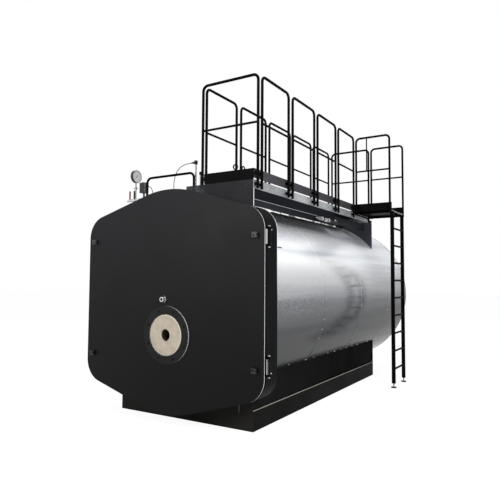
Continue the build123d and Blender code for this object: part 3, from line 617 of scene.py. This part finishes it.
class Piece:
    """A mesh under construction, in the frame's own metres."""

    def __init__(self, name):
        self.name = name
        self.mesh = bmesh.new()

    def face(self, points):
        self.mesh.faces.new([self.mesh.verts.new(p) for p in points])

    def ring(self, centre, axis, radius, sides, start=0.0):
        """Points round a circle across axis."""
        axis = axis.normalized()
        helper = to_top if abs(axis.z) < 0.9 else to_right
        u = axis.cross(helper).normalized()
        v = axis.cross(u)
        spokes = [cos(turn) * u + sin(turn) * v for turn in turns(sides, start)]
        return [self.mesh.verts.new(centre + radius * spoke) for spoke in spokes]

    def skin(self, rings):
        """Joins rings of points one after the other with faces."""
        for a, b in zip(rings, rings[1:]):
            for i in range(len(a)):
                j = (i + 1) % len(a)
                self.mesh.faces.new((a[i], a[j], b[j], b[i]))

    def solid(self, rings):
        """Joins rings of points and closes both ends."""
        self.skin(rings)
        self.mesh.faces.new(list(reversed(rings[0])))
        self.mesh.faces.new(rings[-1])

    def turned(self, origin, axis, profile, sides, start=0.0):
        """The rings of a profile, which is (distance along axis, radius) pairs."""
        axis = axis.normalized()
        rings = []
        for along, radius in profile:
            rings.append(self.ring(Vector(origin) + axis * along, axis, radius, sides, start))
        return rings

    def lathe(self, origin, axis, profile, sides, start=0.0):
        """A solid turned form."""
        self.solid(self.turned(origin, axis, profile, sides, start))

    def band(self, origin, axis, profile, sides):
        """A turned form that closes on itself, such as a ring or a flat hoop."""
        rings = self.turned(origin, axis, profile, sides)
        self.skin([*rings, rings[0]])

    def torus(self, centre, axis, radius, bar, sides, bar_sides):
        profile = [(bar * sin(turn), radius + bar * cos(turn)) for turn in turns(bar_sides)]
        self.band(centre, axis, profile, sides)

    def prism(self, origin, axis, radius, height, edge=0.0, sides=6, start=0.0):
        """A bar with this many sides, its far edge chamfered."""
        profile = [(0, radius), (height - edge, radius)]
        if edge:
            profile.append((height, radius - edge))
        self.lathe(origin, axis, profile, sides, start)

    def box(self, low, high, edge):
        """A box between two corners, its edges bevelled."""
        low = Vector(low)
        high = Vector(high)
        place = Matrix.Translation((low + high) / 2) @ Matrix.Diagonal((*(high - low), 1))
        made = bmesh.ops.create_cube(self.mesh, size=1.0, matrix=place)
        edges = list({e for v in made["verts"] for e in v.link_edges})
        bmesh.ops.bevel(self.mesh, geom=edges, offset=edge, segments=2, affect="EDGES")

    def bolt(self, seat, axis, size, washer=True, start=0.0):
        """A hexagon head of that thread size, on its washer, seated at a point."""
        seat = Vector(seat)
        if washer:
            thick = size * 0.2
            self.prism(seat, axis, size * 1.15, thick, sides=16)
            seat = seat + axis * thick
        self.prism(seat, axis, size * 0.95, size * 0.62, size * 0.12, start=start)

    def bolt_circle(self, centre, axis, radius, count, size):
        """Bolts evenly round a circle, half a step off its right side."""
        for turn in turns(count, pi / count):
            seat = Vector(centre) + radius * Vector((cos(turn), 0, sin(turn)))
            self.bolt(seat, axis, size, start=turn)

    def tube(self, points, radius, sides=12):
        """A round bar along points."""
        before = [points[0], *points[:-1]]
        after = [*points[1:], points[-1]]
        self.solid([self.ring(p, b - a, radius, sides) for a, p, b in zip(before, points, after)])

    def finish(self, material, sharp=35, body="boiler"):
        """Makes the object, smooth up to this angle, and lets it ride on its body."""
        bmesh.ops.recalc_face_normals(self.mesh, faces=self.mesh.faces)
        data = bpy.data.meshes.new(self.name)
        self.mesh.to_mesh(data)
        self.mesh.free()
        data.shade_smooth()
        data.set_sharp_from_angle(angle=radians(sharp))
        obj = add_object(self.name, data, material)
        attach(obj, body)
        return obj


def solids_of(node):
    """The lowest and highest corner of each separate solid in a CAD node."""
    mesh = bmesh.new()
    mesh.from_mesh(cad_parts[node].data)
    bmesh.ops.remove_doubles(mesh, verts=mesh.verts, dist=0.0001)
    mesh.verts.index_update()
    seen = set()
    boxes = []
    for first in mesh.verts:
        if first.index in seen:
            continue
        seen.add(first.index)
        waiting = [first]
        points = []
        while waiting:
            vert = waiting.pop()
            points.append(vert.co.copy())
            for edge in vert.link_edges:
                other = edge.other_vert(vert)
                if other.index not in seen:
                    seen.add(other.index)
                    waiting.append(other)
        low = Vector([min(p[k] for p in points) for k in range(3)])
        high = Vector([max(p[k] for p in points) for k in range(3)])
        boxes.append((low, high))
    mesh.free()
    return boxes


def add_camera():
    """The photograph's viewpoint, with its lens and the slight roll of its frame."""
    place = Vector((3.545, -4.41, 1.495))
    yaw, pitch, roll = 0.55, 0.059, 0.006
    forward = Vector((-sin(yaw) * cos(pitch), cos(yaw) * cos(pitch), sin(pitch)))
    level = Vector((cos(yaw), sin(yaw), 0))
    up = level.cross(forward)
    right = level * cos(roll) + up * sin(roll)
    top = up * cos(roll) - level * sin(roll)
    data = bpy.data.cameras.new("camera")
    data.sensor_width = 36.0
    data.lens = 36.9
    data.clip_end = 200
    camera = add_object("camera", data)
    columns = Matrix((right, top, -forward)).transposed()
    camera.matrix_world = Matrix.Translation(place) @ columns.to_4x4()
    bpy.context.scene.camera = camera


# The leads' routes, as in the CAD: each starts at a side gland and ends in a gland on the
# shell. Heights are metres above the floor.
lead_radius = 0.004
probe_lead_y = 0.025
probe_lead_route = [
    (0.092, 2.785), (0.052, 2.785), (0.004, 2.783), (-0.046, 2.775),
    (-0.092, 2.758), (-0.132, 2.727), (-0.161, 2.687), (-0.178, 2.64),
    (-0.186, 2.591), (-0.188, 2.545), (-0.186, 2.501), (-0.186, 2.4449),
]
switch_lead_y = 0.007
switch_lead_route = [
    (-0.564, 2.575), (-0.54, 2.575), (-0.517, 2.561), (-0.499, 2.539),
    (-0.487, 2.509), (-0.479, 2.471), (-0.476, 2.431), (-0.475, 2.393),
    (-0.475, 2.3573),
]


def add_lead(name, node, route, y):
    """One lead as a smooth curve through its route, in place of its CAD tube."""
    curve = bpy.data.curves.new(name, "CURVE")
    curve.dimensions = "3D"
    curve.bevel_depth = lead_radius
    curve.bevel_resolution = 4
    curve.resolution_u = 12
    curve.use_fill_caps = True
    spline = curve.splines.new("NURBS")
    spline.points.add(len(route) - 1)
    for point, (x, z) in zip(spline.points, route):
        point.co = (x, y, z, 1)
    spline.order_u = 3
    spline.use_endpoint_u = True
    lead = add_object(name, curve, "rubber")
    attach(lead, "boiler")
    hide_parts(node)


def door_bolts():
    """Screws round the burner plate, and the star knobs' centre screws."""
    circle = 0.26
    screws = Piece("burner_plate_screws")
    screws.bolt_circle((0, burner_box[0].y, burner_z), to_front, circle, 8, 0.012)
    screws.finish("black_plastic", body="front_door")
    low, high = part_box("door_knobs")
    lobe, recess = 0.033, 0.004
    head = [(0, 0.009), (0.0035, 0.009), (0.004, 0.008)]
    knobs = Piece("knob_screws")
    for x in (low.x + lobe, high.x - lobe):
        for z in (low.z + lobe, high.z - lobe):
            knobs.lathe((x, low.y + recess, z), to_front, head, 16)
    knobs.finish("dark_plastic", body="front_door")


def door_gasket():
    """The rope seal on the back of the door skin, which the casing's face presses on."""
    middle = (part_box("door_skin")[1].y + casing_box[0].y) / 2
    rope_radius, seal_radius = 0.0095, 1.1
    seal = Piece("door_rope_seal")
    seal.torus((0, middle, axis_z), to_rear, seal_radius, rope_radius, 96, 10)
    seal.finish("rope", body="front_door")


def sight_glass():
    """Bezel, screws and glass of the flame inspection port."""
    low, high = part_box("sight_glass")
    centre = Vector(((low.x + high.x) / 2, low.y, (low.z + high.z) / 2))
    rim = [(0.012, 0.0225), (0.012, 0.025), (0.0, 0.026), (-0.0005, 0.023), (0.0, 0.016), (0.004, 0.014)]
    bezel = Piece("sight_glass_bezel")
    bezel.band(centre, to_rear, rim, 32)
    circle, flange = 0.031, 0.022
    for turn in turns(4, pi / 4):
        seat = centre + Vector((circle * cos(turn), flange, circle * sin(turn)))
        bezel.bolt(seat, to_front, 0.005, washer=False)
    bezel.finish("polished_steel", body="front_door")
    pane = [(0, 0.0155), (0.0015, 0.0145), (0.002, 0.012)]
    glass = Piece("sight_glass_pane")
    glass.lathe(centre + 0.003 * to_rear, to_front, pane, 24)
    glass.finish("print_black", body="front_door")


def hinge_bolts():
    """The screws that hold each hinge bracket to the casing's side."""
    plate, inset, reach = 0.008, 0.02, 0.073
    screws = Piece("hinge_bracket_screws")
    for low, high in solids_of("hinge_brackets"):
        middle = (low.z + high.z) / 2
        for z in (middle - reach, middle + reach):
            screws.bolt((casing_box[1].x + plate, high.y - inset, z), to_right, 0.008)
    screws.finish("zinc")


def shell_point(y, turn, rise):
    """A point this far above the shell's sheet, turn radians up from its right side."""
    radius = shell_radius + rise
    return Vector((radius * cos(turn), y, axis_z + radius * sin(turn)))


def outward(point):
    """The way from the shell's axis to a point."""
    return point - Vector((0, point.y, axis_z))


def shell_hoop(piece, y, profile):
    """A hoop round the shell, from (distance along, rise above the sheet) pairs."""
    piece.band((0, y, axis_z), to_rear, [(along, shell_radius + rise) for along, rise in profile], 120)


def shell_seams():
    """Swaged laps where the cladding sheets meet, the end hoop, and rows of rivets and screws."""
    seams = [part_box(f"cladding_sheet_{i}")[0].y for i in (2, 3, 4)]
    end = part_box("cladding_sheet_4")[1].y
    under, lap, crest, hem = -0.002, 0.0008, 0.0016, 0.0014
    laps = Piece("cladding_laps")
    swage = [(-0.016, under), (-0.016, lap), (-0.006, lap), (-0.003, crest),
             (0.003, crest), (0.006, lap), (0.016, lap), (0.016, under)]
    for y in seams:
        shell_hoop(laps, y, swage)
    laps.finish("stucco_aluminium", 60)
    hoop = Piece("cladding_end_hoop")
    shell_hoop(hoop, end, [(-0.014, under), (-0.014, hem), (0, hem), (0, under)])
    hoop.finish("dark_plastic", 60)
    rivets = Piece("cladding_rivets")
    for y in (*(seam + 0.011 for seam in seams), end - 0.03):
        for turn in turns(60):
            seat = shell_point(y, turn, lap)
            rivets.lathe(seat, outward(seat), [(0, 0.0045), (0.0015, 0.004), (0.0022, 0.002)], 8)
    first, pitch = 0.76, 0.2215
    large, small = 0.008, 0.005
    for turn in (radians(-39), radians(180 + 39)):
        for i in range(int((end - first) / pitch)):
            size = small if i % 2 else large
            seat = shell_point(first + i * pitch, turn, -0.0002)
            dome = [(0, size), (size / 4, size * 0.9), (size / 2, size * 0.4)]
            rivets.lathe(seat, outward(seat), dome, 8)
    rivets.finish("bright_strip")


def channel_trim():
    """The creased foil strip along the foot of the side channel, and the rib above it."""
    low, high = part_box("side_channel_trim")
    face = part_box("side_channel")[1].x
    inner = face + 0.0004
    step, broad, slim = 0.03, 0.024, 0.013
    foil = Piece("side_channel_foil")
    rings = []
    count = int((high.y - low.y) / step)
    for i in range(count + 1):
        y = low.y + (high.y - low.y) * i / count
        half = (broad if 0.02 < y - low.y < 0.36 else slim) / 2
        middle = low.z + 0.007 + random.uniform(-0.0015, 0.0015)
        out = face + 0.004 + random.uniform(0, 0.003)
        crest = out + random.uniform(-0.002, 0.001)
        corners = ((inner, middle - half), (out, middle - half),
                   (crest, middle + half), (inner, middle + half))
        rings.append([foil.mesh.verts.new((x, y, z)) for x, z in corners])
    foil.solid(rings)
    obj = foil.finish("bright_strip", 20)
    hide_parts("side_channel_trim")
    length, proud, tall = 1.55, 0.003, 0.004
    start = Vector((face, low.y, channel_seam_z))
    rib = Piece("side_channel_rib")
    rib.box(start, start + Vector((proud, length, tall)), 0.0006)
    rib.finish("zinc")


def box_fittings():
    """The junction box's lid and screws, and the conduit fitting that enters its front end."""
    low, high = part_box("junction_box")
    thick = 0.005
    lid = Piece("junction_box_lid")
    lid.box((high.x, low.y + 0.006, low.z + 0.004), (high.x + thick, high.y - 0.006, high.z - 0.004), 0.0015)
    lid.finish("black_plastic")
    head = [(0, 0.0045), (0.0015, 0.0045), (0.0025, 0.003)]
    screws = Piece("junction_box_screws")
    for y in (low.y + 0.016, high.y - 0.016):
        for z in (low.z + 0.011, high.z - 0.008):
            screws.lathe((high.x + thick, y, z), to_right, head, 12)
    screws.finish("zinc")
    entry = Vector((low.x + 0.028, low.y, (low.z + high.z) / 2 + 0.008))
    nut, body, neck, edge = 0.027, 0.026, 0.018, 0.003
    fitting = Piece("conduit_fitting")
    fitting.prism(entry, to_front, nut, 0.035, edge)
    sleeve = [(0, body - edge), (0.004, body), (0.09, body)]
    fitting.lathe(entry + 0.075 * to_front, to_front, sleeve, 24)
    fitting.prism(entry + 0.205 * to_front, to_front, nut, 0.05, edge)
    gland = Vector((high.x - 0.012, high.y - 0.03, high.z))
    fitting.prism(gland, to_top, 0.012, 0.014, 0.002)
    fitting.finish("polished_steel")
    seals = Piece("conduit_seals")
    for out in (0.035, 0.165):
        seals.lathe(entry + out * to_front, to_front, [(0, neck), (0.04, neck)], 24)
    seals.finish("rubber")
    cone = [(0, body), (0.03, body - edge), (0.15, 0.008), (0.156, 0.005)]
    conduit_end = Piece("conduit_end")
    conduit_end.lathe(entry + 0.255 * to_front, to_front, cone, 24)
    conduit_end.finish("dull_steel")


def small_fixings():
    """The front plate's screw, the lug on the skid and the stay on the shell."""
    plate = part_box("walkway_front_plate")[0].y
    screw = Piece("front_plate_screw")
    screw.bolt((0.817, plate, 2.454), to_front, 0.009)
    screw.finish("dark_plastic")
    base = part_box("base_end_plates")[0].y
    lug = Piece("skid_lug")
    lug.box((0.7305, base - 0.012, 0.174), (0.7345, base, 0.263), 0.001)
    lug.finish("dull_steel")
    turn = radians(29.1)
    rod = 0.0045
    stay = Piece("shell_stay")
    stay.tube([shell_point(y, turn, rod) for y in (0.278, 0.32, 0.362)], rod)
    for y in (0.285, 0.355):
        foot = shell_point(y, turn, -0.0005)
        stay.lathe(foot, outward(foot), [(0, 0.008), (0.003, 0.008), (0.005, 0.005)], 12)
    stay.finish("black_plastic")


def rear_plate_strip():
    """The strip on the rear plate's top that closes it up to the height of the platform."""
    low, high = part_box("walkway_rear_plate")
    strip = Piece("rear_plate_strip")
    strip.box((low.x, low.y, high.z), (high.x, high.y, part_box("platform_frame")[0].z), 0.001)
    strip.finish("rear_plate_paint")


def lead_sleeves():
    """The tapered strain relief where each lead leaves its housing."""
    taper = [(0, 0.0105), (0.012, 0.0105), (0.016, 0.0085), (0.036, 0.0055), (0.04, 0.0048)]
    sleeves = Piece("lead_sleeves")
    leads = (
        (probe_lead_y, probe_lead_route, -to_right, 1.0),
        (switch_lead_y, switch_lead_route, to_right, 0.55),
    )
    for y, route, axis, length in leads:
        x, z = route[0]
        sleeves.lathe((x, y, z), axis, [(along * length, radius) for along, radius in taper], 20)
    sleeves.finish("black_plastic")


def rail_bolts():
    """A bolt through each handrail leg at each of its two lugs."""
    lugs = [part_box(node) for node in ("deck_edge_plates", "toe_boards")]
    leg = 0.015
    bolts = Piece("handrail_bolts")
    for node, side in (("handrails_right", 1), ("handrails_left", -1)):
        for low, high in solids_of(node):
            outer = high.x if side > 0 else low.x
            for y in (low.y + leg, high.y - leg):
                for bottom, top in lugs:
                    seat = (outer - side * 0.001, y, (bottom.z + top.z) / 2)
                    bolts.bolt(seat, side * to_right, 0.005, washer=False)
    bolts.finish("black_plastic")


def tube_ends():
    """Behind the door: a thin sooty disc in the mouth of each smoke tube, as painted shade for its dark
    bore, and the welds round them and the furnace.
    """
    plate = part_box("front_tube_plate")[0].y
    wall, film = 0.0042, 0.0004
    bores = Piece("smoke_tube_bore_shade")
    welds = Piece("tube_plate_welds")
    for low, high in solids_of("smoke_tube_ends"):
        radius = (high.x - low.x) / 2
        centre = Vector(((low.x + high.x) / 2, plate, (low.z + high.z) / 2))
        # Painted shade: a thin near-black disc closes each tube's mouth in place of its deep, dark bore.
        bores.lathe(centre + 0.0006 * to_front, to_front, [(0, radius - wall), (film, radius - wall)], 24)
        welds.torus(centre, to_rear, radius + 0.0005, 0.003, 24, 6)
    low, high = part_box("furnace_tube")
    inner = (high.x - low.x) / 2 - 0.016
    bead = 0.006
    welds.torus((0, plate, (low.z + high.z) / 2), to_rear, inner + bead, bead, 64, 8)
    bores.finish("soot")
    welds.finish("boiler_steel")


def rear_fittings():
    """Bolts of the rear cover, access door and flue flange, and the access door's handles."""
    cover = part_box("rear_cover")[1].y
    low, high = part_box("rear_access_door")
    door = Vector((0, high.y, (low.z + high.z) / 2))
    low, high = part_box("flue_outlet")
    flange = Vector((0, high.y - 0.014, (low.z + high.z) / 2))
    screws = Piece("rear_cover_screws")
    screws.bolt_circle((0, cover, axis_z), to_rear, shell_radius - 0.03, 36, 0.009)
    screws.bolt_circle(door, to_rear, 0.385, 12, 0.014)
    screws.bolt_circle(flange, to_front, 0.285, 16, 0.012)
    screws.finish("zinc")
    grip = [(-0.09, -0.002), (-0.088, 0.03), (-0.075, 0.045), (0.075, 0.045), (0.088, 0.03), (0.09, -0.002)]
    handles = Piece("access_door_handles")
    for z in (-0.12, 0.12):
        handles.tube([door + Vector((x, y, z)) for x, y in grip], 0.007)
    handles.finish("rail_paint")


def lozenges(piece, low, high):
    """The raised lozenges on a tread plate's top, turned by turns."""
    pitch, length, width = 0.032, 0.022, 0.006
    rise = Vector((0, 0, 0.0018))
    for i in range(int((high.y - low.y) / pitch)):
        for j in range(int((high.x - low.x) / pitch)):
            turn = -pi / 4 if (i + j) % 2 else pi / 4
            along = Vector((cos(turn), sin(turn), 0)) * length
            across = Vector((-sin(turn), cos(turn), 0)) * width
            centre = Vector((low.x + pitch * (j + 0.75), low.y + pitch * (i + 0.75), high.z))
            tips = [centre + along / 2, centre + across / 2, centre - along / 2, centre - across / 2]
            top = [centre + along / 4 + rise, centre - along / 4 + rise]
            v = [piece.mesh.verts.new(p) for p in tips + top]
            for face in ((0, 1, 4), (1, 2, 5), (1, 5, 4), (2, 3, 5), (3, 0, 4), (3, 4, 5)):
                piece.mesh.faces.new([v[k] for k in face])


def tread_patterns():
    for node in ("deck_sheet", "platform_sheet"):
        piece = Piece(node + "_lozenges")
        lozenges(piece, *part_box(node))
        piece.finish("tread_paint", 20)


def gauge_face():
    """Bezel, dial, marks, needle and numbers of the gauge, which faces the walkway's side."""
    low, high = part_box("pressure_gauge")
    centre = Vector((high.x, (low.y + high.y) / 2, (low.z + high.z) / 2))
    radius = (high.y - low.y) / 2
    depth = 0.0055

    def spot(turn, reach, rise):
        """A point on the dial, raised from it."""
        return centre + Vector((rise - depth, reach * cos(turn), reach * sin(turn)))

    rim = [(0.0, 0.0005), (0.0, 0.003), (-0.0005, 0.007),
           (-0.0045, 0.0085), (-depth, 0.008), (-depth, 0.0005)]
    bezel = Piece("gauge_bezel")
    bezel.band(centre, to_right, [(along, radius - inset) for along, inset in rim], 48)
    bezel.finish("polished_steel")
    dial = Piece("gauge_dial")
    dial.lathe(spot(0, 0, 0), to_right, [(0, radius - 0.0065), (0.0006, radius - 0.0065)], 48)
    dial.finish("white_dial")
    first, sweep, count = radians(225), radians(270), 50
    ink, outer = 0.0008, 0.81 * radius
    marks = Piece("gauge_marks")
    for i in range(count + 1):
        turn = first - sweep * i / count
        long = i % 5 == 0
        half = (0.0011 if long else 0.0006) / radius
        inner = radius * (0.68 if long else 0.74)
        corners = ((turn - half, inner), (turn - half, outer), (turn + half, outer), (turn + half, inner))
        marks.face([spot(*corner, ink) for corner in corners])
    turn = first - sweep * 0.62
    tail, hub, lift = 0.018, 0.0024, 0.002
    outline = ((turn + pi + 0.2, tail), (turn + pi - 0.2, tail), (turn - pi / 2, hub),
               (turn, radius * 0.74), (turn + pi / 2, hub))
    marks.face([spot(*corner, lift) for corner in outline])
    marks.lathe(spot(0, 0, lift + 0.0001), to_right, [(0, 0.006), (0.002, 0.006), (0.003, 0.004)], 16)
    marks.finish("print_black")
    for i in range(0, 11, 2):
        name = f"gauge_number_{i}"
        curve = bpy.data.curves.new(name, "FONT")
        curve.body = str(i)
        curve.size = 0.019
        curve.align_x = "CENTER"
        curve.align_y = "CENTER"
        text = add_object(name, curve, "print_black")
        upright = Matrix.Rotation(pi / 2, 4, "Z") @ Matrix.Rotation(pi / 2, 4, "X")
        at = spot(first - sweep * i / 10, radius * 0.53, 0.001)
        text.matrix_world = Matrix.Translation(at) @ upright
        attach(text, "boiler")


def add_light(name, place, target, size, power):
    data = bpy.data.lights.new(name, "AREA")
    data.shape = "RECTANGLE"
    data.size, data.size_y = size
    data.energy = power
    light = add_object(name, data)
    light.location = place
    light.rotation_euler = (Vector(target) - Vector(place)).to_track_quat("-Z", "Y").to_euler()


def shader(tree, kind, colour, strength=None):
    """The output of a new shader node of that colour."""
    node = tree.nodes.new("ShaderNode" + kind)
    node.inputs["Color"].default_value = (*colour, 1)
    if strength is not None:
        node.inputs["Strength"].default_value = strength
    return node.outputs[0]


def show(tree, output, lighting, seen):
    """Shows one shader to camera, glossy and transmitted rays, and lights with the other."""
    path = tree.nodes.new("ShaderNodeLightPath")
    total = path.outputs["Is Camera Ray"]
    for name in ("Is Glossy Ray", "Is Transmission Ray"):
        node = tree.nodes.new("ShaderNodeMath")
        node.operation = "MAXIMUM"
        tree.links.new(total, node.inputs[0])
        tree.links.new(path.outputs[name], node.inputs[1])
        total = node.outputs["Value"]
    mix = tree.nodes.new("ShaderNodeMixShader")
    for source, socket in zip((total, lighting, seen), mix.inputs):
        tree.links.new(source, socket)
    end = tree.nodes.new("ShaderNode" + output)
    tree.links.new(mix.outputs["Shader"], end.inputs["Surface"])


def add_world():
    """A soft sky for light, which shows as plain white."""
    world = bpy.data.worlds.new("studio")
    bpy.context.scene.world = world
    tree = empty_tree(world)
    soft = shader(tree, "Background", (0.93, 0.96, 1.0), 0.42)
    white = shader(tree, "Background", grey(1), 1.0)
    show(tree, "OutputWorld", soft, white)


def add_floor():
    """A pale floor that shows white, with the boiler's soft shadow on it."""
    material = bpy.data.materials.new("studio_floor")
    tree = empty_tree(material)
    plain = shader(tree, "BsdfDiffuse", grey(0.7))
    glow = shader(tree, "Emission", grey(1), 0.93)
    shade = shader(tree, "BsdfDiffuse", grey(0.14))
    shown = tree.nodes.new("ShaderNodeAddShader")
    tree.links.new(glow, shown.inputs[0])
    tree.links.new(shade, shown.inputs[1])
    show(tree, "OutputMaterial", plain, shown.outputs["Shader"])
    half, drop = 60, -0.001
    data = bpy.data.meshes.new("floor")
    corners = [(x * half, y * half, drop) for x, y in ((-1, -1), (1, -1), (1, 1), (-1, 1))]
    data.from_pydata(corners, [], [(0, 1, 2, 3)])
    data.materials.append(material)
    floor = add_object("floor", data)


def add_stage():
    add_world()
    add_floor()
    middle = (0, 2, 1.6)
    add_light("key", (7.5, -3.5, 6.5), middle, (5, 4), 520)
    add_light("front", (-3.5, -8, 4.5), middle, (5, 4), 310)
    add_light("top", (0, 2.5, 9), middle, (6, 8), 300)
    add_light("low", (6.5, 0.5, 0.6), (1.0, 0.8, 2.2), (4, 1), 120)


random.seed(SEED)
make_materials()
add_camera()
add_lead("probe_lead", "probe_cable", probe_lead_route, probe_lead_y)
add_lead("switch_lead", "switch_cable", switch_lead_route, switch_lead_y)
dress_nodes()
door_bolts()
sight_glass()
hinge_bolts()
door_gasket()
shell_seams()
channel_trim()
box_fittings()
small_fixings()
rear_plate_strip()
lead_sleeves()
rail_bolts()
tube_ends()
rear_fittings()
tread_patterns()
gauge_face()
add_stage()

scene = bpy.context.scene
scene.view_settings.view_transform = "Standard"
bpy.context.view_layer.update()
